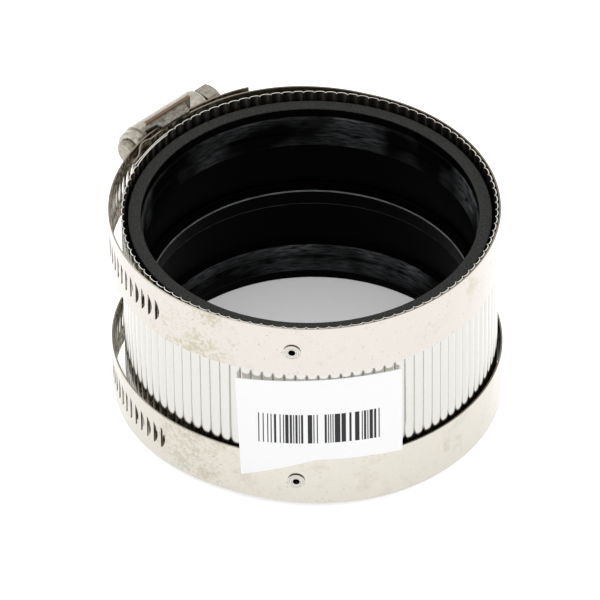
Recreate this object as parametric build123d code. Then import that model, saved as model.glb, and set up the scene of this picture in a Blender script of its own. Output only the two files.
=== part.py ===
from build123d import *
import math
import os

# Coupling for three-inch pipe without hubs: a rubber sleeve, a corrugated steel
# shield round it, and two slotted bands that worm screws draw tight.
# The axis is Z, z = 0 is the face that the sleeve stands on, and angles run
# counter-clockwise from +X. All sizes are in millimetres.

# Rubber gasket
gasket_length = 54.0
gasket_outer_radius = 44.1
lip_wall = 3.1
mouth_chamfer = 0.3
mouth_length = 2.5
bead_height = 0.6
bead_ramp = 0.6
bead_length = 3.2
bead_groove_width = 1.6
bead_groove_depth = 0.9
sleeve_wall = 2.3
stop_height = 2.3
stop_length = 4.0
stop_ramp = 0.8

# Corrugated shield, which stands above the gasket at the top
shield_gap = 0.75
shield_sheet = 0.2
shield_bottom = 1.7
shield_overhang = 1.8
corrugation_depth = 0.55
corrugation_count = 99
corrugation_points = 5
crest_fullness = 0.5
lap_start = 140.0
lap_end = 158.0
lap_points = 6
lap_clearance = 0.05
lap_lift = 0.36

# Bands, each hugging the shield from hug_start round the front to hug_end
band_sheet = 0.4
band_width = 14.2
band_gap = 0.25
band_inset = 5.0
lower_band_middle = 8.8
lower_band_slack = 0.65
hug_start = 68.0
hug_end = -106.0

# Plain end of a band: its rise under the clamp, its hook and the tongue past it
fixed_lift = 1.2
plain_rise = [(127.0, 1.0), (117.0, 1.2), (107.0, 1.2), (97.0, 1.05), (84.0, 0.55)]
hook_start = 149.0
hook_end = 146.8
hook_ramp_angle = 2.2
tongue_start = 153.6
tongue_end = 157.0
tongue_lift = 0.4

# Slotted end of a band: its bulge before the clamp and its course through it
band_bulge = 2.6
tail_rise = [(-122.0, 0.17), (-148.0, 0.65), (-180.0, 1.0), (-206.0, 1.04)]
tail_hump_angle = -214.0
tail_hump = 0.25
tail_flat_start = -220.0
tail_flat_end = -234.0
tail_end = -252.5
tail_spring = 0.7

# Slots in the band's tail
slot_height = 6.5
slot_width = 1.5
slot_pitch = 2.65
slot_slant_angle = 3.5
slot_start = -141.7
slot_end_margin = 2.5
slot_cut_depth = 1.2

# Clamp on each band, measured from the middle of its screw towards the head
clamp_angle = 134.7
thread_radius = 4.2
thread_root_radius = 3.4
thread_crest_width = 0.7
thread_root_width = 1.5
thread_end_gap = 0.2
thread_sink = 0.2
thread_clearance = 0.1
worm_start = -6.1
worm_end = 8.6
journal_radius = 3.3
journal_clearance = 0.08
tip_start = -11.1
tip_chamfer = 0.7
cover_sheet = 0.8
cover_clearance = 0.15
cover_start = -6.3
cover_end = 8.8
tip_collar_start = -9.3
tip_collar_radius = 4.65
tip_collar_round = 0.8
head_collar_end = 14.9
head_collar_round = 1.65
collar_flat = 4.0
flange_height = 1.65
saddle_sheet = 0.6
saddle_recess = 0.45
saddle_side_gap = 0.15
saddle_floor_sheet = 0.75
saddle_floor_start = -3.6
saddle_floor_end = 4.6
saddle_wall_start = -8.0
saddle_wall_end = 6.9
saddle_skirt = 0.45
saddle_foot = 1.8
layer_gap = 0.05
head_size = 7.94
head_gap = 0.25
head_length = 4.0
head_chamfer = 0.5

# Eyelets that pin each band to the shield
eyelet_flange_radius = 2.0
eyelet_flange_sheet = 0.35
eyelet_barrel_radius = 1.25
eyelet_bore_radius = 0.75
eyelet_hole_clearance = 0.05
eyelet_hole_depth = 2.5
eyelet_rim_radius = 1.7
eyelet_rim_sheet = 0.2
upper_eyelet_angle = -95.7
lower_eyelet_angle = -94.8

# Paper label in front of the shield, with its left corner over the lower band
label_width = 40.0
label_sheet = 0.15
label_bow_radius = 75.0
label_angle = -87.8
label_top_gap = 0.9
label_turn_angle = 1.5
label_drop = 5.6
label_left_lean = 1.0
label_step = -1.0
label_band_clearance = 0.1

# Sizes that follow from those above
mouth_radius = gasket_outer_radius - lip_wall
bead_radius = mouth_radius - bead_height
wall_radius = gasket_outer_radius - sleeve_wall
stop_radius = wall_radius - stop_height
gasket_middle = gasket_length / 2
shield_length = gasket_length + shield_overhang - shield_bottom
shield_root_radius = gasket_outer_radius + shield_gap
shield_crest_radius = shield_root_radius + corrugation_depth + shield_sheet
corrugation_span = 360 - (lap_end - lap_start)
upper_band_middle = gasket_length - band_inset
band_radius = shield_crest_radius + band_gap + band_sheet
fixed_radius = band_radius + fixed_lift
floor_radius = fixed_radius + layer_gap
tail_radius = floor_radius + saddle_floor_sheet + layer_gap + band_sheet
hook_radius = tail_radius - band_sheet - 2 * layer_gap
screw_radius = tail_radius + thread_clearance + thread_radius
cover_bore = thread_radius + cover_clearance
cover_radius = cover_bore + cover_sheet
flange_level = tail_radius + flange_height - screw_radius
saddle_half_width = band_width / 2 + saddle_side_gap + saddle_sheet
flange_half_width = saddle_half_width + saddle_recess
label_top = upper_band_middle - band_width / 2 - label_top_gap
lower_band_top = lower_band_middle + band_width / 2


def polar(radius, angle):
    """Point in the XY plane at a radius and an angle in degrees."""
    turn = math.radians(angle)
    return (radius * math.cos(turn), radius * math.sin(turn))


def clamp_frame(middle):
    """Plane on a screw's axis: x outwards, y up and z towards the head."""
    out = Vector(*polar(1, clamp_angle), 0)
    to_head = Vector(*polar(1, clamp_angle - 90), 0)
    return Plane(origin=out * screw_radius + Vector(0, 0, middle), x_dir=out, z_dir=to_head)


def radial_plane(radius, angle, height):
    """Plane that faces outwards at a radius, with x along the circle and y up."""
    out = Vector(*polar(1, angle), 0)
    along = Vector(*polar(1, angle + 90), 0)
    return Plane(origin=out * radius + Vector(0, 0, height), x_dir=along, z_dir=out)


# Rubber gasket: a turned sleeve with two sealing beads at each mouth and a
# ridge in the middle, against which the two pipe ends stop.


def gasket_half_profile():
    """Inner outline from the mouth to the middle, as radius and depth."""
    groove_radius = bead_radius + bead_groove_depth
    points = [(mouth_radius + mouth_chamfer, 0), (mouth_radius, mouth_chamfer)]
    points += [(mouth_radius, mouth_length)]
    depth = mouth_length + bead_ramp
    points += [(bead_radius, depth), (bead_radius, depth + bead_length)]
    depth += bead_length
    points += [(groove_radius, depth + bead_groove_width / 4)]
    points += [(groove_radius, depth + bead_groove_width * 3 / 4)]
    depth += bead_groove_width
    points += [(bead_radius, depth), (bead_radius, depth + bead_length)]
    depth += bead_length
    points += [(wall_radius, depth + bead_ramp)]
    stop_depth = gasket_middle - stop_length / 2
    points += [(wall_radius, stop_depth - stop_ramp), (stop_radius, stop_depth)]
    return points


def make_gasket():
    half = gasket_half_profile()
    lower = [(radius, depth) for radius, depth in half]
    upper = [(radius, gasket_length - depth) for radius, depth in reversed(half)]
    outer = [(gasket_outer_radius, gasket_length), (gasket_outer_radius, 0)]
    outline = Polyline(*(lower + upper + outer), close=True)
    return revolve(Plane.XZ * make_face(outline), Axis.Z)


# Corrugated shield: one thin sheet rolled into a sleeve, whose plain ends lap.


def shield_edge(offset):
    """Points along one face of the sheet: lap, round crests with sharp valleys, lap."""
    root = shield_root_radius + offset
    crest = root + corrugation_depth
    lap_inside = crest - shield_sheet - lap_clearance
    lap_step = (lap_end - lap_start) / lap_points
    points = [polar(lap_inside, lap_start + lap_step * i) for i in range(lap_points)]
    pitch = corrugation_span / corrugation_count
    for wave in range(corrugation_count):
        for i in range(corrugation_points):
            share = i / corrugation_points
            rise = corrugation_depth * math.sin(math.pi * share) ** crest_fullness
            points.append(polar(root + rise, lap_end + pitch * (wave + share)))
    for i in range(lap_points + 1):
        lift = lap_lift * max(0, 2 * i / lap_points - 1) ** 2
        points.append(polar(crest + lift, lap_start + lap_step * i))
    return points


def make_shield():
    outline = Polyline(*(shield_edge(shield_sheet) + shield_edge(0)[::-1]), close=True)
    shield = extrude(make_face(outline), shield_length)
    return Pos(0, 0, shield_bottom) * shield


# Bands: one strip each. The plain end lies under the clamp, with a raised hook
# and a tongue past it, and the slotted tail comes round and through the clamp.


def plain_stations(slack):
    """Outer radius of the strip from its tongue to where it meets the shield."""
    stations = [
        (tongue_end, band_radius + tongue_lift),
        (tongue_start, band_radius + tongue_lift),
        (hook_start, hook_radius),
        (hook_end, hook_radius),
        (hook_end - hook_ramp_angle, fixed_radius),
        (clamp_angle, fixed_radius),
    ]
    for angle, share in plain_rise:
        stations.append((angle, band_radius + fixed_lift * share + slack * max(0, 1 - share)))
    stations.append((hug_start, band_radius + slack))
    return stations


def tail_stations(slack):
    """Outer radius of the strip from where it leaves the shield to its slotted end."""
    stations = [(hug_end, band_radius + slack)]
    for angle, share in tail_rise:
        stations.append((angle, band_radius + band_bulge * share + slack * max(0, 1 - share)))
    stations += [
        (tail_hump_angle, tail_radius + tail_hump),
        (tail_flat_start, tail_radius),
        (clamp_angle - 360, tail_radius),
        (tail_flat_end, tail_radius),
        (tail_end, tail_radius + tail_spring),
    ]
    return stations


def smooth_arcs(stations, inset):
    """Two arcs between each station and the next, smooth from one end to the other."""
    points = [Vector(*polar(radius - inset, angle)) for angle, radius in stations]
    slopes = [(rb - ra) / math.radians(a - b) for (a, ra), (b, rb) in zip(stations, stations[2:])]
    ways = []
    for (angle, radius), slope in zip(stations, [0, *slopes, 0]):
        way = Vector(*polar(radius, angle - 90)) + Vector(*polar(slope, angle))
        ways.append(way.normalized())
    arcs = []
    for start, end, way, end_way in zip(points, points[1:], ways, ways[1:]):
        chord = end - start
        along = chord.dot(way + end_way)
        bend = 2 * (1 - way.dot(end_way))
        reach = chord.dot(chord) / (along + math.sqrt(along**2 + bend * chord.dot(chord)))
        meeting = (start + way * reach + end - end_way * reach) / 2
        arcs.append(TangentArc(start, meeting, tangent=way))
        arcs.append(TangentArc(end, meeting, tangent=-end_way))
    return arcs


def band_line(slack, inset):
    """One face of the strip in plan, from its tongue to its slotted end."""
    plain = plain_stations(slack)
    tail = tail_stations(slack)
    hug_radius = band_radius + slack - inset
    hug_middle = polar(hug_radius, (hug_start + hug_end) / 2)
    hug = ThreePointArc(polar(hug_radius, hug_start), hug_middle, polar(hug_radius, hug_end))
    return smooth_arcs(plain, inset) + [hug] + smooth_arcs(tail, inset)


def strip_radius(angle):
    """Outer radius of the tail at an angle, straight between its stations."""
    stations = tail_stations(0)
    for (a, ra), (b, rb) in zip(stations, stations[1:]):
        if b <= angle <= a:
            return ra + (rb - ra) * (angle - a) / (b - a)
    return band_radius


def slot_shape():
    """Outline of a slot: straight on one side and bulged on the other."""
    low = (0, -slot_height / 2)
    high = (0, slot_height / 2)
    straight = Line(low, high)
    bulge = ThreePointArc(high, (slot_width, 0), low)
    return make_face([straight, bulge])


def slot_cutters(middle):
    cutters = []
    angle = slot_start
    while angle > tail_end + slot_end_margin:
        radius = strip_radius(angle)
        place = radial_plane(radius, angle, middle).rotated((0, 0, slot_slant_angle))
        cutters.append(extrude(place * slot_shape(), amount=slot_cut_depth, both=True))
        angle -= math.degrees(slot_pitch / radius)
    return cutters


def make_band(middle, slack, eyelet_angle):
    outer = band_line(slack, 0)
    inner = band_line(slack, band_sheet)
    ends = [Line(outer[i] @ 0, inner[i] @ 0) for i in (0, -1)]
    face = make_face(outer + inner + ends)
    band = Pos(0, 0, middle - band_width / 2) * extrude(face, band_width)
    hole = eyelet_hole(eyelet_angle, middle)
    return band - (slot_cutters(middle) + [hole])


# Eyelets: short tubes rolled over on both sides of the band and the shield.


def eyelet_hole(angle, height):
    place = radial_plane(band_radius, angle, height)
    radius = eyelet_barrel_radius + eyelet_hole_clearance
    return extrude(place * Circle(radius), amount=eyelet_hole_depth, both=True)


def make_eyelet(angle, height, slack):
    place = radial_plane(0, angle, height)
    seat = band_radius + slack
    rim_outer = shield_root_radius - layer_gap
    rim_inner = rim_outer - eyelet_rim_sheet
    crown = seat + eyelet_flange_sheet
    mouth = (eyelet_bore_radius + eyelet_flange_radius) / 2
    barrel = Polyline(
        (eyelet_bore_radius, rim_inner),
        (eyelet_rim_radius, rim_inner),
        (eyelet_rim_radius, rim_outer),
        (eyelet_barrel_radius, rim_outer),
        (eyelet_barrel_radius, seat),
        (eyelet_flange_radius, seat),
    )
    bulge = ThreePointArc(barrel @ 1, (mouth, crown), (eyelet_bore_radius, seat))
    closing = Line(bulge @ 1, barrel @ 0)
    section = make_face([barrel, bulge, closing])
    return place * revolve(Plane.XZ * section, Axis.Z)


# Clamp: a channel-shaped saddle carries the tail, a cover arches over the screw,
# and a collar at each end of the cover holds the screw's journals.


def make_saddle(middle):
    place = clamp_frame(middle)
    shoulder = tail_radius - screw_radius
    foot = floor_radius - screw_radius - saddle_foot
    side = Polyline(
        (foot, saddle_floor_start),
        (shoulder, saddle_floor_start - saddle_skirt),
        (shoulder + saddle_skirt, saddle_wall_start),
        (flange_level, saddle_wall_start),
        (flange_level, saddle_wall_end),
        (foot, saddle_floor_end),
        close=True,
    )
    side_plane = Plane(origin=(0, 0, 0), x_dir=(1, 0, 0), z_dir=(0, -1, 0))
    plate = make_face(side)
    walls = []
    for sign in (-1, 1):
        offset = sign * (saddle_half_width - saddle_sheet / 2)
        wall = extrude(side_plane * plate, amount=saddle_sheet / 2, both=True)
        walls.append(place * (Pos(0, offset, 0) * wall))
    inside = Cylinder(floor_radius - saddle_skirt, 2 * band_width)
    walls = [wall - Pos(0, 0, middle) * inside for wall in walls]
    height = 2 * saddle_half_width
    ring = Cylinder(floor_radius + saddle_floor_sheet, height) - Cylinder(floor_radius, height)
    floor_length = saddle_floor_end - saddle_floor_start
    floor_middle = (saddle_floor_end + saddle_floor_start) / 2
    window = Pos(0, 0, floor_middle) * Box(4 * thread_radius, height, floor_length)
    floor = (Pos(0, 0, middle) * ring) & (place * window)
    return floor + walls


def make_cover(middle):
    low = flange_level
    high = flange_level + cover_sheet
    half = flange_half_width
    arch = [
        Line((low, -half), (low, -cover_bore)),
        Line((low, -cover_bore), (0, -cover_bore)),
        ThreePointArc((0, -cover_bore), (cover_bore, 0), (0, cover_bore)),
        Line((0, cover_bore), (low, cover_bore)),
        Line((low, cover_bore), (low, half)),
        Line((low, half), (high, half)),
        Line((high, half), (high, cover_radius)),
        Line((high, cover_radius), (0, cover_radius)),
        ThreePointArc((0, cover_radius), (cover_radius, 0), (0, -cover_radius)),
        Line((0, -cover_radius), (high, -cover_radius)),
        Line((high, -cover_radius), (high, -half)),
        Line((high, -half), (low, -half)),
    ]
    cover = Pos(0, 0, cover_start) * extrude(make_face(arch), cover_end - cover_start)
    cover += collar(cover_end, head_collar_end, cover_radius, head_collar_round)
    cover += collar(cover_start, tip_collar_start, tip_collar_radius, tip_collar_round)
    return clamp_frame(middle) * cover


def collar(inner_end, outer_end, radius, rounding):
    """Bearing ring on the screw's axis, rounded where it ends and flat underneath."""
    way = math.copysign(1, outer_end - inner_end)
    bore = journal_radius + journal_clearance
    round_start = (radius, outer_end - way * rounding)
    round_end = (radius - rounding, outer_end)
    bend = rounding * (1 - math.sqrt(0.5))
    round_middle = (radius - bend, outer_end - way * bend)
    section = make_face(
        [
            Line((bore, inner_end), (radius, inner_end)),
            Line((radius, inner_end), round_start),
            ThreePointArc(round_start, round_middle, round_end),
            Line(round_end, (bore, outer_end)),
            Line((bore, outer_end), (bore, inner_end)),
        ]
    )
    ring = revolve(Plane.XZ * section, Axis.Z)
    side = 4 * radius
    middle = (inner_end + outer_end) / 2
    return ring & (Pos(side / 2 - collar_flat, 0, middle) * Box(side, side, side))


def make_thread():
    """Helical ridge of the worm, with the pitch of the slots in the band."""
    length = worm_end - worm_start - thread_root_width - 2 * thread_end_gap
    start = worm_start + (worm_end - worm_start - length) / 2
    sunk = thread_root_radius - thread_sink
    path = Pos(0, 0, start) * Helix(slot_pitch, length, sunk)
    outline = Polyline(
        (0, -thread_root_width / 2),
        (thread_radius - sunk, -thread_crest_width / 2),
        (thread_radius - sunk, thread_crest_width / 2),
        (0, thread_root_width / 2),
        close=True,
    )
    plane = Plane(origin=path @ 0, x_dir=(1, 0, 0), z_dir=path % 0)
    return sweep(plane * make_face(outline), path=path, is_frenet=True)


def shaft(radius, start, end):
    return Pos(0, 0, (start + end) / 2) * Cylinder(radius, end - start)


def make_screw(middle):
    head_start = head_collar_end + head_gap
    journal_end = head_start
    tip = shaft(journal_radius, tip_start, worm_start)
    tip = chamfer(tip.edges().group_by(Axis.Z)[0], tip_chamfer)
    hexagon = RegularPolygon(head_size / 2, 6, major_radius=False)
    head = Pos(0, 0, head_start) * extrude(hexagon, head_length)
    cone_radius = head_size / math.sqrt(3)
    blank = Pos(0, 0, head_start + head_length / 2) * Cylinder(cone_radius, head_length)
    blank = chamfer(blank.edges().group_by(Axis.Z)[-1], head_chamfer)
    screw = tip + shaft(thread_root_radius, worm_start, worm_end) + make_thread()
    screw += shaft(journal_radius, worm_end, journal_end)
    screw += head & blank
    return clamp_frame(middle) * screw


# Paper label: a stiff sheet bowed flatter than the shield, so that its sides stand
# off. Its lower left corner hangs over the lower band and the rest ends above it.


def make_label():
    seat = band_radius + lower_band_slack + label_band_clearance
    step_height = lower_band_top + label_band_clearance
    half = label_width / 2
    rise = half * math.tan(math.radians(label_turn_angle))
    outline = Polyline(
        (-half, label_top - rise),
        (half, label_top + rise),
        (half, step_height),
        (label_step, step_height),
        (label_left_lean - half, lower_band_top - label_drop),
        close=True,
    )
    bow = Cylinder(label_bow_radius + label_sheet, 2 * label_top)
    bow -= Cylinder(label_bow_radius, 2 * label_top)
    bow_centre = polar(seat - label_bow_radius, label_angle)
    window = extrude(radial_plane(0, label_angle, 0) * make_face(outline), 2 * seat)
    return (Pos(*bow_centre, label_top) * bow) & window


clamps = {
    "upper": (upper_band_middle, 0, upper_eyelet_angle),
    "lower": (lower_band_middle, lower_band_slack, lower_eyelet_angle),
}
parts = {"gasket": make_gasket(), "shield": make_shield(), "label": make_label()}
for name, (middle, slack, eyelet_angle) in clamps.items():
    parts["shield"] -= eyelet_hole(eyelet_angle, middle)
    parts[name + "_band"] = make_band(middle, slack, eyelet_angle)
    parts[name + "_saddle"] = make_saddle(middle)
    parts[name + "_cover"] = make_cover(middle)
    parts[name + "_screw"] = make_screw(middle)
    parts[name + "_eyelet"] = make_eyelet(eyelet_angle, middle, slack)

os.makedirs("parts", exist_ok=True)
for name, solid in parts.items():
    export_step(solid, "parts/" + name + ".step")
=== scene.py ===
import bmesh
import bpy
import math
from mathutils import Matrix, Vector


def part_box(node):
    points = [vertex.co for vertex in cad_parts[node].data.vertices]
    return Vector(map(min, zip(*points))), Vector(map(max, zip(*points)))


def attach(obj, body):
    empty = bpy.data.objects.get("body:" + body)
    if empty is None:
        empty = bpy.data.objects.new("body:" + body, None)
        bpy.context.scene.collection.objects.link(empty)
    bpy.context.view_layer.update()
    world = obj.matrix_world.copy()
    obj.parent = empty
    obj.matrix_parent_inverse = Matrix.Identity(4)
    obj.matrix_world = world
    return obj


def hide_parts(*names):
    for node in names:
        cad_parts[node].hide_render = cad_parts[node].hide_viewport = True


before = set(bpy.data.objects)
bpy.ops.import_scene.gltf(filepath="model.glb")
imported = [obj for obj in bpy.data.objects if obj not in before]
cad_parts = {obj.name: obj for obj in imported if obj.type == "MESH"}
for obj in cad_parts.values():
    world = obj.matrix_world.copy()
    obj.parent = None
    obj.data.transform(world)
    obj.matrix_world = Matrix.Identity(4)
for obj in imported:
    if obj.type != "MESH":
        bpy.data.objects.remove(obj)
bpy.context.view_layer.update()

# Gasket: one moulded sleeve of black rubber that stands on the floor inside the
# shield. Each mouth has a thick lip and two sealing beads, and a ridge in the
# middle stops the pipe ends.


def linear(hex_colour):
    """An sRGB hex colour as linear RGBA."""
    channels = [int(hex_colour[i : i + 2], 16) / 255 for i in (1, 3, 5)]
    return [c / 12.92 if c <= 0.04045 else ((c + 0.055) / 1.055) ** 2.4 for c in channels] + [1]


def add(tree, kind, inputs=(), **settings):
    """Adds a node with its settings. Its inputs, by place or by name, get values or links."""
    node = tree.nodes.new(kind)
    for name, value in settings.items():
        setattr(node, name, value)
    for key, value in inputs.items() if isinstance(inputs, dict) else enumerate(inputs):
        if isinstance(value, bpy.types.Node):
            value = value.outputs[0]
        if isinstance(value, bpy.types.NodeSocket):
            tree.links.new(value, node.inputs[key])
        else:
            node.inputs[key].default_value = value
    return node


def finish(name, settings):
    """A new material with one Principled shader, and its node tree and shader."""
    material = bpy.data.materials.new(name)
    material.use_nodes = True
    tree = material.node_tree
    shader = tree.nodes["Principled BSDF"]
    for key, value in settings.items():
        shader.inputs[key].default_value = value
    return material, tree, shader


def turned(name, profile, steps):
    """A mesh turned about Z from a closed profile of radius and height."""
    shape = bmesh.new()
    ring = [shape.verts.new((radius, 0, height)) for radius, height in profile]
    edges = [shape.edges.new(pair) for pair in zip(ring, ring[1:] + ring[:1])]
    bmesh.ops.spin(shape, geom=ring + edges, axis=(0, 0, 1), angle=2 * math.pi, steps=steps)
    bmesh.ops.remove_doubles(shape, verts=shape.verts, dist=join_distance)
    bmesh.ops.recalc_face_normals(shape, faces=shape.faces)
    mesh = bpy.data.meshes.new(name)
    shape.to_mesh(mesh)
    shape.free()
    return mesh


def show(mesh, node, materials, body="coupling", bevel=0.0, sharp=30):
    """Puts a mesh in the scene in place of a CAD node, with a fine bevel if asked."""
    piece = bpy.data.objects.new(node + "_piece", mesh)
    bpy.context.scene.collection.objects.link(piece)
    for material in materials:
        mesh.materials.append(material)
    mesh.polygons.foreach_set("use_smooth", [True] * len(mesh.polygons))
    mesh.set_sharp_from_angle(angle=math.radians(sharp))
    if bevel:
        rounding = piece.modifiers.new("edges", "BEVEL")
        rounding.width = bevel
        rounding.segments = 2
        rounding.limit_method = "ANGLE"
        rounding.angle_limit = math.radians(sharp)
        rounding.harden_normals = True
    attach(piece, body)
    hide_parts(node)


mm = 0.001
join_distance = 0.001 * mm
lip_wall = 3.1 * mm
mouth_length = 2.5 * mm
bead_height = 0.6 * mm
bead_ramp = 0.6 * mm
bead_length = 3.2 * mm
groove_width = 1.6 * mm
groove_depth = 0.9 * mm
sleeve_wall = 2.3 * mm
stop_height = 2.3 * mm
stop_length = 4.0 * mm
stop_ramp = 0.8 * mm
rubber_edge = 0.25 * mm
rubber_steps = 256
rubber_corner = 20

gasket_low, gasket_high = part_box("gasket")
gasket_length = gasket_high.z - gasket_low.z
gasket_outer = (gasket_high.x - gasket_low.x) / 2
mouth_radius = gasket_outer - lip_wall
bead_radius = mouth_radius - bead_height
wall_radius = gasket_outer - sleeve_wall
stop_radius = wall_radius - stop_height
first_bead = mouth_length + bead_ramp
groove = first_bead + bead_length
second_bead = groove + groove_width
second_end = second_bead + bead_length
stop_depth = gasket_length / 2 - stop_length / 2
half = [
    (mouth_radius, 0),
    (mouth_radius, mouth_length),
    (bead_radius, first_bead),
    (bead_radius, groove),
    (bead_radius + groove_depth, groove + groove_width / 4),
    (bead_radius + groove_depth, second_bead - groove_width / 4),
    (bead_radius, second_bead),
    (bead_radius, second_end),
    (wall_radius, second_end + bead_ramp),
    (wall_radius, stop_depth - stop_ramp),
    (stop_radius, stop_depth),
]
profile = half + [(radius, gasket_length - depth) for radius, depth in reversed(half)]
profile += [(gasket_outer, gasket_length), (gasket_outer, 0)]

# Moulded rubber: nearly black and satin on the walls, dusty grey and matt on the
# end faces, with faint streaks of painted sheen on the beads, and a thin painted
# highlight line along the stop ridge's corners.
wall_black = "#000000"
end_grey = "#313230"
bead_sheen_grey = "#94989b"
ridge_highlight_grey = "#85898c"
end_face_depth = 0.3 * mm
stop_margin = 0.4 * mm
highlight_width = 0.16 * mm
highlight_depth = 0.3 * mm
highlight_strength = 1.1
streak_squeeze = 0.12
streaks_per_mm = 2.6
grains_per_mm = 2.8
patches_per_mm = 0.045
grain_to_dust = (0.36, 0.64, 0.65, 1.45)
streak_to_sheen = (0.32, 0.7, 0.0, 0.3)
patch_edges = (0.4, 0.6)
lower_bead_gain = 0.9
wall_roughness = 0.4
end_roughness_gain = 0.3
stop_roughness_gain = -0.15

rubber, tree, shader = finish("moulded_rubber", {"Specular IOR Level": 0.025})
spot = add(tree, "ShaderNodeTexCoord").outputs["Object"]
place = add(tree, "ShaderNodeSeparateXYZ", (spot,)).outputs
end_face = add(
    tree, "ShaderNodeMath", (place["Z"], gasket_length - end_face_depth), operation="GREATER_THAN")
from_middle = add(tree, "ShaderNodeMath", (place["Z"], gasket_length / 2), operation="SUBTRACT")
from_middle = add(tree, "ShaderNodeMath", (from_middle,), operation="ABSOLUTE")
past_wall = add(
    tree, "ShaderNodeMath", (from_middle, gasket_length / 2 - second_end), operation="GREATER_THAN")
before_lip = add(
    tree, "ShaderNodeMath", (from_middle, gasket_length / 2 - mouth_length), operation="LESS_THAN")
on_bead = add(tree, "ShaderNodeMath", (past_wall, before_lip), operation="MULTIPLY")
on_stop = add(
    tree, "ShaderNodeMath", (from_middle, stop_length / 2 + stop_margin), operation="LESS_THAN")
way_round = add(tree, "ShaderNodeMath", (place["Y"], place["X"]), operation="ARCTAN2")
way_round = add(tree, "ShaderNodeMath", (way_round, mouth_radius), operation="MULTIPLY")
way_round = add(tree, "ShaderNodeMath", (way_round, streak_squeeze), operation="MULTIPLY")
along = add(tree, "ShaderNodeCombineXYZ", (way_round, place["Z"]))
streaks = add(
    tree, "ShaderNodeTexNoise", {"Vector": along, "Scale": streaks_per_mm / mm, "Detail": 4.0})
grain = add(tree, "ShaderNodeTexNoise", {"Vector": spot, "Scale": grains_per_mm / mm, "Detail": 4.0})
dust = add(tree, "ShaderNodeMapRange", (grain, *grain_to_dust))
powder = add(tree, "ShaderNodeCombineXYZ", (dust, dust, dust))
shade = add(
    tree, "ShaderNodeMix", {0: end_face, 6: linear(wall_black), 7: linear(end_grey)}, data_type="RGBA")
tint = add(
    tree, "ShaderNodeMix", {0: 1.0, 6: shade.outputs[2], 7: powder}, data_type="RGBA", blend_type="MULTIPLY")
# Painted sheen: the bead grey shows in streaks and patches on the beads, stronger on the lower ones.
patchy = add(tree, "ShaderNodeTexNoise", {"Vector": spot, "Scale": patches_per_mm / mm, "Detail": 2.0})
patch = add(tree, "ShaderNodeMapRange", (patchy, *patch_edges))
lower_half = add(tree, "ShaderNodeMath", (place["Z"], gasket_length / 2), operation="LESS_THAN")
bead_gain = add(tree, "ShaderNodeMath", (lower_half, lower_bead_gain, 1.0), operation="MULTIPLY_ADD")
sheen = add(tree, "ShaderNodeMapRange", (streaks, *streak_to_sheen))
sheen = add(tree, "ShaderNodeMath", (sheen, bead_gain), operation="MULTIPLY")
sheen_patch = add(tree, "ShaderNodeMath", (on_bead, patch), operation="MULTIPLY")
sheen = add(tree, "ShaderNodeMath", (sheen_patch, sheen), operation="MULTIPLY")
shade = add(
    tree, "ShaderNodeMix", {0: sheen, 6: tint.outputs[2], 7: linear(bead_sheen_grey)}, data_type="RGBA")
# Painted highlight: a thin pale line along the stop ridge's corners at its inner edge, broken by the
# streaks.
from_corner = add(tree, "ShaderNodeMath", (from_middle, stop_length / 2), operation="SUBTRACT")
from_corner = add(tree, "ShaderNodeMath", (from_corner,), operation="ABSOLUTE")
at_corner = add(tree, "ShaderNodeMath", (from_corner, highlight_width), operation="LESS_THAN")
level_spot = add(tree, "ShaderNodeCombineXYZ", (place["X"], place["Y"]))
reach = add(tree, "ShaderNodeVectorMath", (level_spot,), operation="LENGTH").outputs["Value"]
on_top = add(tree, "ShaderNodeMath", (reach, stop_radius + highlight_depth), operation="LESS_THAN")
highlight_line = add(tree, "ShaderNodeMath", (at_corner, on_top), operation="MULTIPLY")
ridge_highlight = add(tree, "ShaderNodeMath", (streaks, highlight_strength), operation="MULTIPLY")
ridge_highlight = add(tree, "ShaderNodeMath", (highlight_line, ridge_highlight), operation="MULTIPLY")
colour = add(
    tree, "ShaderNodeMix", {0: ridge_highlight, 6: shade.outputs[2], 7: linear(ridge_highlight_grey)}, data_type="RGBA")
tree.links.new(colour.outputs[2], shader.inputs["Base Color"])
dullness = add(
    tree, "ShaderNodeMath", (on_stop, stop_roughness_gain, wall_roughness), operation="MULTIPLY_ADD")
dullness = add(
    tree, "ShaderNodeMath", (end_face, end_roughness_gain, dullness), operation="MULTIPLY_ADD")
tree.links.new(dullness.outputs[0], shader.inputs["Roughness"])
gasket = turned("gasket", profile, rubber_steps)
show(gasket, "gasket", [rubber], bevel=rubber_edge, sharp=rubber_corner)

# Shield: one thin sheet of stainless steel with 99 upright corrugations, rolled
# round the gasket, whose plain ends lap at the left rear. It has sharp valleys
# between round crests, and a hole for each band's eyelet.
sheet = 0.2 * mm
corrugation_depth = 0.55 * mm
waves = 99
waves_arc = math.radians(342)
wave_steps = 10
lap_columns = 52
lap_start = math.radians(140)
lap_clearance = 0.05 * mm
lap_lift = 0.36 * mm
crest_fullness = 0.34
hole_radius = 1.3 * mm
drill_length = 6 * mm
drill_sides = 24
sheet_corner = 40
cut_facing = 0.9
inward_facing = -0.2
bulges = {"Left": (0.9 * mm, 212, 22), "Rear": (0.45 * mm, 482, 22)}

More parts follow.
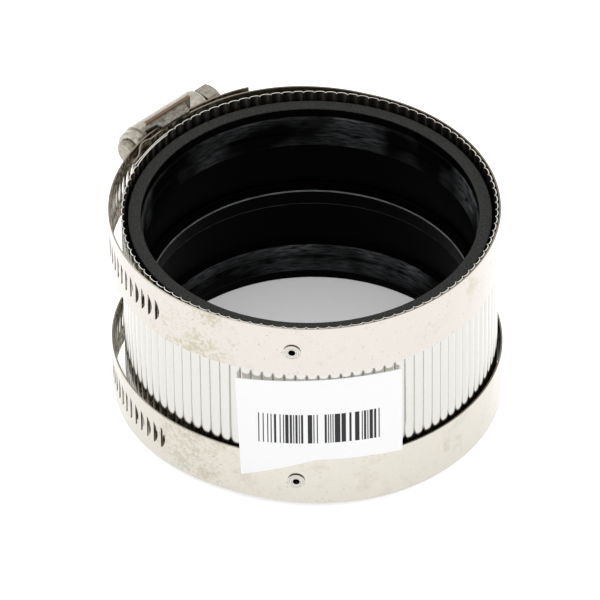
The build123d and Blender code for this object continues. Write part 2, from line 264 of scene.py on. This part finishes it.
shield_low, shield_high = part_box("shield")
crest_radius = -shield_low.y
column_angle = waves_arc / (waves * wave_steps)
wanted = {
    "Columns": ("Int", 2 * lap_columns + waves * wave_steps),
    "Lap columns": ("Int", lap_columns),
    "Wave columns": ("Int", wave_steps),
    "Column angle": ("Float", column_angle),
    "Lap start": ("Float", lap_start),
    "Root radius": ("Float", crest_radius - corrugation_depth - sheet / 2),
    "Depth": ("Float", corrugation_depth),
    "Fullness": ("Float", crest_fullness),
    "Sheet": ("Float", sheet),
    "Lap drop": ("Float", sheet + lap_clearance),
    "Lap lift": ("Float", lap_lift),
    "Bottom": ("Float", shield_low.z),
    "Length": ("Float", shield_high.z - shield_low.z),
    "Hole radius": ("Float", hole_radius),
    "Steel": ("Material", None),
}
for name, (size, middle, width) in bulges.items():
    wanted[name + " bulge"] = ("Float", size)
    wanted[name + " bulge angle"] = ("Float", math.radians(middle))
    wanted[name + " bulge width"] = ("Float", math.radians(width))
for level in ("upper", "lower"):
    low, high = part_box(level + "_eyelet")
    centre = (low + high) / 2
    wanted[level + " hole"] = ("Vector", centre)
    wanted[level + " hole turn"] = ("Vector", Vector((0, math.pi / 2, math.atan2(centre.y, centre.x))))

tree = bpy.data.node_groups.new("corrugated_sheet", "GeometryNodeTree")
tree.interface.new_socket("Geometry", in_out="OUTPUT", socket_type="NodeSocketGeometry")
sockets = {
    name: tree.interface.new_socket(name, in_out="INPUT", socket_type="NodeSocket" + kind)
    for name, (kind, value) in wanted.items()
}
given = add(tree, "NodeGroupInput").outputs

# The sheet starts as a flat bar, one unit long for each column.
bar_size = add(tree, "ShaderNodeCombineXYZ", (given["Columns"], 1.0, 1.0))
across = add(tree, "ShaderNodeMath", (given["Columns"], 1.0), operation="ADD")
bar = add(
    tree, "GeometryNodeMeshCube", {"Size": bar_size, "Vertices X": across, "Vertices Y": 2, "Vertices Z": 2})
spot = add(tree, "ShaderNodeSeparateXYZ", (add(tree, "GeometryNodeInputPosition"),)).outputs
column = add(tree, "ShaderNodeMath", (given["Columns"], 0.5, spot["X"]), operation="MULTIPLY_ADD")
past_lap = add(tree, "ShaderNodeMath", (column, given["Lap columns"]), operation="SUBTRACT")
outer_lap = add(tree, "ShaderNodeMath", (column, given["Columns"]), operation="SUBTRACT")
outer_lap = add(tree, "ShaderNodeMath", (outer_lap, given["Lap columns"]), operation="ADD")
is_inner = add(tree, "ShaderNodeMath", (past_lap, -0.5), operation="LESS_THAN")
is_outer = add(tree, "ShaderNodeMath", (outer_lap, -0.5), operation="GREATER_THAN")
is_lap = add(tree, "ShaderNodeMath", (is_inner, is_outer), operation="ADD")
is_wave = add(tree, "ShaderNodeMath", (1.0, is_lap), operation="SUBTRACT")

# Each corrugation rises as a full arch. The inner lap end drops under the outer
# one, whose free edge lifts a little.
share = add(tree, "ShaderNodeMath", (past_lap, given["Wave columns"]), operation="DIVIDE")
share = add(tree, "ShaderNodeMath", (share,), operation="FRACT")
arch = add(tree, "ShaderNodeMath", (share, math.pi), operation="MULTIPLY")
arch = add(tree, "ShaderNodeMath", (arch,), operation="SINE")
arch = add(tree, "ShaderNodeMath", (arch, given["Fullness"]), operation="POWER")
wave_rise = add(tree, "ShaderNodeMath", (arch, given["Depth"]), operation="MULTIPLY")
wave_rise = add(tree, "ShaderNodeMath", (wave_rise, is_wave), operation="MULTIPLY")
lap_share = add(tree, "ShaderNodeMath", (outer_lap, given["Lap columns"]), operation="DIVIDE")
lap_share = add(tree, "ShaderNodeMath", (lap_share, 2.0, -1.0), operation="MULTIPLY_ADD")
lap_share = add(tree, "ShaderNodeMath", (lap_share, 0.0), operation="MAXIMUM")
flare = add(tree, "ShaderNodeMath", (lap_share, lap_share), operation="MULTIPLY")
flare = add(tree, "ShaderNodeMath", (flare, given["Lap lift"]), operation="MULTIPLY")
inner_rise = add(tree, "ShaderNodeMath", (given["Depth"], given["Lap drop"]), operation="SUBTRACT")
inner_rise = add(tree, "ShaderNodeMath", (is_inner, inner_rise), operation="MULTIPLY")
outer_rise = add(tree, "ShaderNodeMath", (given["Depth"], flare), operation="ADD")
outer_rise = add(tree, "ShaderNodeMath", (is_outer, outer_rise), operation="MULTIPLY")
rise = add(tree, "ShaderNodeMath", (wave_rise, inner_rise), operation="ADD")
rise = add(tree, "ShaderNodeMath", (rise, outer_rise), operation="ADD")

# The bar is rolled up, and pushed out where the real shield is out of round.
thickness = add(tree, "ShaderNodeMath", (spot["Y"], given["Sheet"]), operation="MULTIPLY")
angle = add(
    tree, "ShaderNodeMath", (column, given["Column angle"], given["Lap start"]), operation="MULTIPLY_ADD")
radius = add(tree, "ShaderNodeMath", (rise, given["Root radius"]), operation="ADD")
radius = add(tree, "ShaderNodeMath", (radius, thickness), operation="SUBTRACT")
for name in bulges:
    bulge = name + " bulge"
    offset = add(tree, "ShaderNodeMath", (angle, given[bulge + " angle"]), operation="SUBTRACT")
    offset = add(tree, "ShaderNodeMath", (offset, given[bulge + " width"]), operation="DIVIDE")
    square = add(tree, "ShaderNodeMath", (offset, offset), operation="MULTIPLY")
    square = add(tree, "ShaderNodeMath", (square, -1.0), operation="MULTIPLY")
    falloff = add(tree, "ShaderNodeMath", (square,), operation="EXPONENT")
    radius = add(tree, "ShaderNodeMath", (falloff, given[bulge], radius), operation="MULTIPLY_ADD")
turn_x = add(tree, "ShaderNodeMath", (angle,), operation="COSINE")
turn_x = add(tree, "ShaderNodeMath", (radius, turn_x), operation="MULTIPLY")
turn_y = add(tree, "ShaderNodeMath", (angle,), operation="SINE")
turn_y = add(tree, "ShaderNodeMath", (radius, turn_y), operation="MULTIPLY")
upright = add(tree, "ShaderNodeMath", (spot["Z"], 0.5), operation="ADD")
upright = add(
    tree, "ShaderNodeMath", (upright, given["Length"], given["Bottom"]), operation="MULTIPLY_ADD")
rolled = add(tree, "ShaderNodeCombineXYZ", (turn_x, turn_y, upright))
sleeve = add(tree, "GeometryNodeSetPosition", {"Geometry": bar, "Position": rolled})
for level in ("upper", "lower"):
    drill = add(tree, "GeometryNodeMeshCylinder", {
        "Vertices": drill_sides, "Radius": given["Hole radius"], "Depth": drill_length})
    drill = add(tree, "GeometryNodeTransform", {
        "Geometry": drill,
        "Translation": given[level + " hole"],
        "Rotation": given[level + " hole turn"],
    })
    sleeve = add(
        tree, "GeometryNodeMeshBoolean", (sleeve, drill), operation="DIFFERENCE", solver="EXACT")
whole = add(tree, "GeometryNodeRealizeInstances", (sleeve,))
whole = add(tree, "GeometryNodeSetMaterial", {0: whole, "Material": given["Steel"]})
add(tree, "NodeGroupOutput", (whole,))


def made_by(tree, sockets, values):
    """The mesh that a node tree makes with these values for its named inputs."""
    holder = bpy.data.objects.new("holder", bpy.data.meshes.new("holder"))
    bpy.context.scene.collection.objects.link(holder)
    modifier = holder.modifiers.new("maker", "NODES")
    modifier.node_group = tree
    for name, value in values.items():
        modifier[sockets[name].identifier] = value
    bpy.context.view_layer.update()
    mesh = bpy.data.meshes.new_from_object(holder.evaluated_get(bpy.context.evaluated_depsgraph_get()))
    holder.modifiers.remove(modifier)
    bpy.data.objects.remove(holder)
    return mesh


# Cold rolled stainless sheet: bright and nearly smooth outside, so each crest
# mirrors the white room as a pale strip between thin grey valleys.
bright_steel, _, _ = finish("bright_rolled_steel", {
    "Base Color": linear("#bfbeb9"), "Metallic": 1.0, "Roughness": 0.16})
values = {name: value for name, (kind, value) in wanted.items()}
values["Steel"] = bright_steel
shield = made_by(tree, sockets, values)
shield.materials.clear()

# The sheet's inside is duller, with painted brown shade in its pockets behind the crests.
wall_light = "#c9c4b8"
pocket_shade_brown = "#4a463f"
pocket_fullness = 0.4
dull_steel, tree, shader = finish("dull_inner_steel", {"Metallic": 1.0, "Roughness": 0.4})
spot = add(tree, "ShaderNodeTexCoord").outputs["Object"]
place = add(tree, "ShaderNodeSeparateXYZ", (spot,)).outputs
way_round = add(tree, "ShaderNodeMath", (place["Y"], place["X"]), operation="ARCTAN2")
way_round = add(
    tree, "ShaderNodeMath", (way_round, lap_start + lap_columns * column_angle), operation="SUBTRACT")
share = add(tree, "ShaderNodeMath", (way_round, wave_steps * column_angle), operation="DIVIDE")
share = add(tree, "ShaderNodeMath", (share,), operation="FRACT")
# Painted shade: the pockets behind the crests turn brown, and the wall between them stays light.
pocket_shade = add(tree, "ShaderNodeMath", (share, math.pi), operation="MULTIPLY")
pocket_shade = add(tree, "ShaderNodeMath", (pocket_shade,), operation="SINE")
pocket_shade = add(tree, "ShaderNodeMath", (pocket_shade, pocket_fullness), operation="POWER")
colour = add(
    tree, "ShaderNodeMix", {0: pocket_shade, 6: linear(wall_light), 7: linear(pocket_shade_brown)}, data_type="RGBA")
tree.links.new(colour.outputs[2], shader.inputs["Base Color"])

# The sheet's cut ends are clean and pale, a fine bright wavy line at the rim.
cut_sheet, _, _ = finish("cut_sheet_steel", {
    "Base Color": linear("#e4e1d8"), "Metallic": 1.0, "Roughness": 0.3})
show(shield, "shield", [bright_steel, dull_steel, cut_sheet], sharp=sheet_corner)
for face in shield.polygons:
    inwards = face.normal.xy.dot(face.center.xy.normalized()) < inward_facing
    face.material_index = 2 if abs(face.normal.z) > cut_facing else int(inwards)

# Bands: one stainless strip each, plain in front and slotted on the left, where
# it runs through the clamp. The lower one hangs a little askew and is drawn in
# in front, so its copy is moved the way the real one sits.


def merged(node):
    """A copy of a CAD node's mesh with its corners joined and its flat faces whole."""
    shape = bmesh.new()
    shape.from_mesh(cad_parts[node].data)
    bmesh.ops.remove_doubles(shape, verts=shape.verts, dist=join_distance)
    bmesh.ops.dissolve_limit(shape, angle_limit=flat_angle, verts=shape.verts, edges=shape.edges)
    mesh = bpy.data.meshes.new(node)
    shape.to_mesh(mesh)
    shape.free()
    if "custom_normal" in mesh.attributes:
        mesh.attributes.remove(mesh.attributes["custom_normal"])
    return mesh


flat_angle = math.radians(0.5)

# Rolled strip, satin: warm white with faint yellowish blotches, thickest on the
# left where it was handled, and a few tiny dark specks.
stain_middle = -28 * mm
stain_reach = 9 * mm
clouds_per_mm = 0.13
mottles_per_mm = 1.1
specks_per_mm = 1.9
mottle_gain = 1.0
mottle_level = -0.4
blotch_edges = (0.55, 0.75, 0.0)
speck_edges = (0.7, 0.78, 0.0, 0.5)
speck_brown = "#5e584c"
strip_gloss = 0.14
strip_gloss_gain = 0.2
strip_looks = {
    "upper": ("satin_strip_steel", "#c0bbb4", "#a69f87", 0.75),
    "lower": ("dusty_strip_steel", "#c0bcb2", "#a29e8b", 0.6),
}
band_finishes = {}
for level, (name, clean, stain, stain_level) in strip_looks.items():
    band_finishes[level], tree, shader = finish(name, {"Metallic": 1.0})
    spot = add(tree, "ShaderNodeTexCoord").outputs["Object"]
    cloud = add(tree, "ShaderNodeTexNoise", {
        "Vector": spot, "Scale": clouds_per_mm / mm, "Detail": 7.0, "Roughness": 0.72})
    across = add(tree, "ShaderNodeSeparateXYZ", (spot,)).outputs["X"]
    offset = add(tree, "ShaderNodeMath", (across, stain_middle), operation="SUBTRACT")
    offset = add(tree, "ShaderNodeMath", (offset, stain_reach), operation="DIVIDE")
    square = add(tree, "ShaderNodeMath", (offset, offset), operation="MULTIPLY")
    square = add(tree, "ShaderNodeMath", (square, -1.0), operation="MULTIPLY")
    nearness = add(tree, "ShaderNodeMath", (square,), operation="EXPONENT")
    mottle = add(
        tree, "ShaderNodeTexNoise", {"Vector": spot, "Scale": mottles_per_mm / mm, "Detail": 4.0})
    mottle = add(tree, "ShaderNodeMath", (mottle, mottle_gain, mottle_level), operation="MULTIPLY_ADD")
    cloudy = add(tree, "ShaderNodeMath", (nearness, mottle, cloud), operation="MULTIPLY_ADD")
    blotch = add(tree, "ShaderNodeMapRange", (cloudy, *blotch_edges, stain_level))
    speck = add(
        tree, "ShaderNodeTexNoise", {"Vector": spot, "Scale": specks_per_mm / mm, "Detail": 1.0})
    speck = add(tree, "ShaderNodeMapRange", (speck, *speck_edges))
    colour = add(
        tree, "ShaderNodeMix", {0: blotch, 6: linear(clean), 7: linear(stain)}, data_type="RGBA")
    colour = add(
        tree, "ShaderNodeMix", {0: speck, 6: colour.outputs[2], 7: linear(speck_brown)}, data_type="RGBA")
    tree.links.new(colour.outputs[2], shader.inputs["Base Color"])
    dullness = add(
        tree, "ShaderNodeMath", (cloud, strip_gloss_gain, strip_gloss), operation="MULTIPLY_ADD")
    tree.links.new(dullness.outputs[0], shader.inputs["Roughness"])

# The strip's sheared edges: clean in front on the left, brown further round.
clean_edge = "#c4beb2"
brown_edge = "#877c6f"
rear_browning = (-30 * mm, -5 * mm)
right_browning = (-20 * mm, 10 * mm)
sheared_steel, tree, shader = finish("sheared_steel", {"Metallic": 1.0, "Roughness": 0.45})
spot = add(tree, "ShaderNodeTexCoord").outputs["Object"]
place = add(tree, "ShaderNodeSeparateXYZ", (spot,)).outputs
rearward = add(tree, "ShaderNodeMapRange", (place["Y"], *rear_browning))
rightward = add(tree, "ShaderNodeMapRange", (place["X"], *right_browning))
browning = add(tree, "ShaderNodeMath", (rearward, rightward), operation="MAXIMUM")
colour = add(
    tree, "ShaderNodeMix", {0: browning, 6: linear(clean_edge), 7: linear(brown_edge)}, data_type="RGBA")
tree.links.new(colour.outputs[2], shader.inputs["Base Color"])

# The strip's inside: painted dark shade, mottled brown, with painted glints in
# lighter patches on the left, seen in the gap above the band.
inner_shade_dark = "#332e25"
inner_shade_brown = "#776f5f"
glint_light = "#cfc6ac"
inner_mottles_per_mm = 0.7
left_glints = (-18 * mm, -34 * mm)
glint_levels = (0.47, 0.57, 0.0)
shaded_steel, tree, shader = finish("shaded_inner_steel", {"Metallic": 1.0, "Roughness": 0.5})
spot = add(tree, "ShaderNodeTexCoord").outputs["Object"]
across = add(tree, "ShaderNodeSeparateXYZ", (spot,)).outputs["X"]
# Painted shade in dark and brown mottles, and painted glints in light patches towards the left.
cloud = add(tree, "ShaderNodeTexNoise", {"Vector": spot, "Scale": inner_mottles_per_mm / mm, "Detail": 5.0})
leftward = add(tree, "ShaderNodeMapRange", (across, *left_glints))
painted_glint = add(tree, "ShaderNodeMapRange", (cloud, *glint_levels, leftward))
colour = add(
    tree, "ShaderNodeMix", {0: cloud, 6: linear(inner_shade_dark), 7: linear(inner_shade_brown)}, data_type="RGBA")
colour = add(
    tree, "ShaderNodeMix", {0: painted_glint, 6: colour.outputs[2], 7: linear(glint_light)}, data_type="RGBA")
tree.links.new(colour.outputs[2], shader.inputs["Base Color"])

# How the lower band sits: angles are in degrees from the right, and the front
# is at -90. It is drawn in at two places, raised at the left and dropped at the
# right, and its slots lie a little further round.
front_angle = -90
snugs = {"front": (0.35 * mm, -108, 32), "right": (0.35 * mm, -42, 24)}
left_rise = 0.8 * mm
rise_start = 150
rise_blend = 35
right_drop = 1.4 * mm
slide = 1.5
slide_start = 160
slide_end = 252
slide_blend = 20
band_edge = 0.05 * mm
strip_inward_facing = -0.3
for level in ("upper", "lower"):
    band = merged(level + "_band")
    for vertex in band.vertices if level == "lower" else []:
        around = math.degrees(math.atan2(vertex.co.y, vertex.co.x))
        for size, middle, width in snugs.values():
            snug = size * math.exp(-(((around - middle) / width) ** 2))
            vertex.co.xy -= vertex.co.xy.normalized() * snug
        if around > 90:
            vertex.co.z += left_rise * max(0, (around - rise_start) / (180 - rise_start))
        elif around > front_angle:
            vertex.co.z -= right_drop * math.cos(math.radians(around))
        else:
            vertex.co.z += left_rise * min(1, (front_angle - around) / rise_blend)
        way = around % 360
        slid_in = max(0, (way - slide_start) / slide_blend)
        slid_out = max(0, (slide_end - way) / slide_blend)
        slid = math.radians(slide) * min(1, slid_in, slid_out)
        vertex.co.xy = Matrix.Rotation(slid, 2) @ vertex.co.xy
    finishes = [band_finishes[level], sheared_steel, shaded_steel]
    show(band, level + "_band", finishes, bevel=band_edge)
    for face in band.polygons:
        inwards = face.normal.xy.dot(face.center.xy.normalized()) < strip_inward_facing
        face.material_index = 1 if abs(face.normal.z) > cut_facing else 2 * int(inwards)

# Eyelets: short stainless tubes rolled over outside the band and inside the
# shield, which pin the two together in front.
bore = 0.75 * mm
barrel = 1.25 * mm
inner_rim = 1.7 * mm
inner_thickness = 0.2 * mm
flange = 2.15 * mm
flange_thickness = 0.22 * mm
roll = 0.35 * mm
seat_clearance = 0.07 * mm
stand_out = {"upper": 0.12 * mm, "lower": -0.12 * mm}
sink = {"upper": 0.0, "lower": 0.28 * mm}
eyelet_edge = 0.05 * mm
eyelet_steps = 64

# Rolled tube end: bright and smooth, two thin rings round a dark hole.
eyelet_steel, _, _ = finish("rolled_eyelet_steel", {
    "Base Color": linear("#b9b7b0"), "Metallic": 1.0, "Roughness": 0.14})
for level in ("upper", "lower"):
    low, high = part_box(level + "_eyelet")
    centre = (low + high) / 2
    out = centre.xy.normalized()
    reaches = [vertex.co.xy.dot(out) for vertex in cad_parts[level + "_eyelet"].data.vertices]
    inner_end = min(reaches)
    seat = max(reaches) - roll - sink[level]
    crown = max(reaches) + stand_out[level]
    profile = [
        (bore, inner_end),
        (inner_rim, inner_end),
        (inner_rim, inner_end + inner_thickness),
        (barrel, inner_end + inner_thickness),
        (barrel, seat + seat_clearance),
        (flange - 0.55 * mm, seat + seat_clearance),
        (flange, crown - flange_thickness),
        (flange - 0.16 * mm, crown - 0.02 * mm),
        (flange - 0.4 * mm, crown),
        (flange - 0.58 * mm, crown - flange_thickness),
        (bore + 0.46 * mm, crown - flange_thickness),
        (bore + 0.3 * mm, crown - 0.04 * mm),
        (bore + 0.1 * mm, crown - 0.1 * mm),
        (bore, crown - 0.4 * mm),
    ]
    eyelet = turned(level + "_eyelet", profile, eyelet_steps)
    aim_out = Matrix.Rotation(math.atan2(out.y, out.x), 4, "Z") @ Matrix.Rotation(math.pi / 2, 4, "Y")
    eyelet.transform(Matrix.Translation((0, 0, centre.z)) @ aim_out)
    show(eyelet, level + "_eyelet", [eyelet_steel], bevel=eyelet_edge)

# Clamps: a pressed saddle round the tail, a cover arched over the screw with a
# collar at each end, and a hex-headed worm screw that turns in the collars.
saddle_edge = 0.06 * mm
cover_edge = 0.2 * mm
screw_edge = 0.06 * mm
cover_cut = 0.1 * mm
skin_depth = 0.05 * mm
skin_strength = 0.25
mottle_edges = (0.3, 0.7)

# Pressed and cold headed steel, all dull and mottled with a slightly rough skin:
# a pale cover, a darker and rougher saddle, and a warm grey screw.
clamp_looks = {
    "cover": ("pressed_steel", "#bcb7ab", "#8b877d", 0.32, 0.9),
    "saddle": ("rough_saddle_steel", "#a39e93", "#3d3a32", 0.5, 1.1),
    "screw": ("headed_screw_steel", "#aca698", "#79746a", 0.4, 0.9),
}
clamp_finishes = {}
for piece, (name, light, dark, roughness, spots_per_mm) in clamp_looks.items():
    clamp_finishes[piece], tree, shader = finish(name, {"Metallic": 1.0, "Roughness": roughness})
    spot = add(tree, "ShaderNodeTexCoord").outputs["Object"]
    mottle = add(tree, "ShaderNodeTexNoise", {
        "Vector": spot, "Scale": spots_per_mm / mm, "Detail": 5.0, "Roughness": 0.7})
    share = add(tree, "ShaderNodeMapRange", (mottle, *mottle_edges))
    colour = add(tree, "ShaderNodeMix", {0: share, 6: linear(dark), 7: linear(light)}, data_type="RGBA")
    tree.links.new(colour.outputs[2], shader.inputs["Base Color"])
    skin = add(
        tree, "ShaderNodeBump", {"Strength": skin_strength, "Distance": skin_depth, "Height": mottle})
    tree.links.new(skin.outputs[0], shader.inputs["Normal"])

# The cover's cut edges: a thin brown line along its top.
cut_steel, _, _ = finish("cut_cover_steel", {
    "Base Color": linear("#7c5f4c"), "Metallic": 1.0, "Roughness": 0.45})
for level in ("upper", "lower"):
    saddle = merged(level + "_saddle")
    show(saddle, level + "_saddle", [clamp_finishes["saddle"]], bevel=saddle_edge)
    cover = merged(level + "_cover")
    show(cover, level + "_cover", [clamp_finishes["cover"], cut_steel], bevel=cover_edge)
    low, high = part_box(level + "_cover")
    for face in cover.polygons:
        on_edge = abs(face.center.z - (low.z + high.z) / 2) > (high.z - low.z) / 2 - cover_cut
        face.material_index = int(on_edge)
    name = level + "_screw"
    show(merged(name), name, [clamp_finishes["screw"]], body=name, bevel=screw_edge)

# Label: a white paper sticker in front of the shield, whose lower left corner
# hangs over the lower band. It is stuck at the bottom, and its upper corners
# lean back towards the shield's crests.
bars_left = -13.2 * mm
bars_right = 16.2 * mm
bars_low = 21.0 * mm
bars_high = 29.6 * mm
bar_width = 0.27 * mm
ink_share = 0.5
fold_clearance = 0.1 * mm
label_lean = Vector((-0.05 * mm, 1.3 * mm, -1.1 * mm))
side_lean = 1.0
back_facing = 0.3

# Uncoated paper: flat white, printed with upright black bars that carry no number.
paper, tree, shader = finish("label_paper", {"Roughness": 0.75})
spot = add(tree, "ShaderNodeTexCoord").outputs["Object"]
place = add(tree, "ShaderNodeSeparateXYZ", (spot,)).outputs
cell = add(tree, "ShaderNodeMath", (place["X"], bar_width), operation="DIVIDE")
cell = add(tree, "ShaderNodeMath", (cell,), operation="FLOOR")
chance = add(tree, "ShaderNodeTexWhiteNoise", {"W": cell}, noise_dimensions="1D")
ink = add(tree, "ShaderNodeMath", (chance, ink_share), operation="LESS_THAN")
for axis, low, high in (("X", bars_left, bars_right), ("Z", bars_low, bars_high)):
    past_low = add(tree, "ShaderNodeMath", (place[axis], low), operation="GREATER_THAN")
    ink = add(tree, "ShaderNodeMath", (ink, past_low), operation="MULTIPLY")
    before_high = add(tree, "ShaderNodeMath", (place[axis], high), operation="LESS_THAN")
    ink = add(tree, "ShaderNodeMath", (ink, before_high), operation="MULTIPLY")
colour = add(
    tree, "ShaderNodeMix", {0: ink, 6: linear("#ededed"), 7: linear("#1c1c1e")}, data_type="RGBA")
tree.links.new(colour.outputs[2], shader.inputs["Base Color"])

# The sticker's back: cream adhesive paper that light shines through, so its
# mirror image in the crests glows above the label.
adhesive, _, _ = finish("label_back", {
    "Base Color": linear("#f7f0d8"), "Roughness": 0.6, "Subsurface Weight": 1.0,
    "Subsurface Radius": (1, 0.95, 0.8), "Subsurface Scale": 3 * mm})

label_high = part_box("label")[1]
fold_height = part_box("lower_band")[1].z + fold_clearance
shape = bmesh.new()
shape.from_mesh(merged("label"))
everything = shape.verts[:] + shape.edges[:] + shape.faces[:]
bmesh.ops.bisect_plane(shape, geom=everything, plane_co=(0, 0, fold_height), plane_no=(0, 0, 1))
for vertex in shape.verts:
    share = max(0, (vertex.co.z - fold_height) / (label_high.z - fold_height))
    vertex.co += label_lean * share * (1 + side_lean * (vertex.co.x / label_high.x) ** 2)
sticker = bpy.data.meshes.new("label")
shape.to_mesh(sticker)
shape.free()
show(sticker, "label", [paper, adhesive])
for face in sticker.polygons:
    face.material_index = int(face.normal.y > back_facing)

# Floor and light: a white floor and an even white surround, a little
# overexposed, so that only the floor inside the sleeve turns grey.
floor_half = 1.5
floor_white = "#f6f6f8"
sky_level = 1.2
lifted_from = 44.2 * mm
lift_outside = 0.48
lift_inside = 0.16

floor_mesh = bpy.data.meshes.new("floor")
corners = [(-floor_half, -floor_half, 0), (floor_half, -floor_half, 0)]
corners += [(floor_half, floor_half, 0), (-floor_half, floor_half, 0)]
floor_mesh.from_pydata(corners, [], [(0, 1, 2, 3)])
floor = bpy.data.objects.new("floor", floor_mesh)
bpy.context.scene.collection.objects.link(floor)

# Matt white paper: it glows a little for the camera and in the steel, less so
# inside the sleeve, and keeps the coupling's soft shadow.
floor_paper = bpy.data.materials.new("floor_paper")
floor_paper.use_nodes = True
tree = floor_paper.node_tree
tree.nodes.clear()
spot = add(tree, "ShaderNodeTexCoord").outputs["Object"]
reach = add(tree, "ShaderNodeVectorMath", (spot,), operation="LENGTH").outputs["Value"]
outside = add(tree, "ShaderNodeMath", (reach, lifted_from), operation="GREATER_THAN")
lift = add(tree, "ShaderNodeMath", (outside, lift_outside, lift_inside), operation="MULTIPLY_ADD")
rays = add(tree, "ShaderNodeLightPath").outputs
seen = add(tree, "ShaderNodeMath", (rays["Is Camera Ray"], rays["Is Glossy Ray"]), operation="MAXIMUM")
lift = add(tree, "ShaderNodeMath", (seen, lift), operation="MULTIPLY")
paper_white = add(tree, "ShaderNodeBsdfDiffuse", {"Color": linear(floor_white)})
glow = add(tree, "ShaderNodeEmission", {"Strength": lift})
both = add(tree, "ShaderNodeAddShader", (paper_white, glow))
add(tree, "ShaderNodeOutputMaterial", {"Surface": both})
floor_mesh.materials.append(floor_paper)

world = bpy.data.worlds.new("white_surround")
bpy.context.scene.world = world
world.use_nodes = True
tree = world.node_tree
tree.nodes.clear()
sky = add(tree, "ShaderNodeBackground", {"Color": (1, 1, 1, 1), "Strength": sky_level})
add(tree, "ShaderNodeOutputWorld", {"Surface": sky})

# Camera: it looks down on the coupling from in front, with a long lens. The aim
# is a point on the coupling's axis, and the aim pixel is where the photo shows it.
camera_distance = 2000 * mm
camera_elevation = math.radians(39.79)
camera_roll = math.radians(-0.60)
camera_reach = 20
sensor_width = 36
photo_width = 600
pixels_per_mm = 4.0969
aim = Vector((0, 0, 27 * mm))
aim_pixel = (310.9, 299.33)

camera_data = bpy.data.cameras.new("camera")
camera_data.sensor_width = sensor_width
camera_data.lens = sensor_width * pixels_per_mm * camera_distance / mm / photo_width
camera_data.shift_x = (photo_width / 2 - aim_pixel[0]) / photo_width
camera_data.shift_y = (aim_pixel[1] - photo_width / 2) / photo_width
camera_data.clip_end = camera_reach
camera = bpy.data.objects.new("camera", camera_data)
back = Vector((0, -math.cos(camera_elevation), math.sin(camera_elevation)))
turn = (-back).to_track_quat("-Z", "Y").to_matrix() @ Matrix.Rotation(camera_roll, 3, "Z")
camera.matrix_world = Matrix.Translation(aim + back * camera_distance) @ turn.to_4x4()
bpy.context.scene.collection.objects.link(camera)
bpy.context.scene.camera = camera
bpy.context.scene.view_settings.view_transform = "Standard"
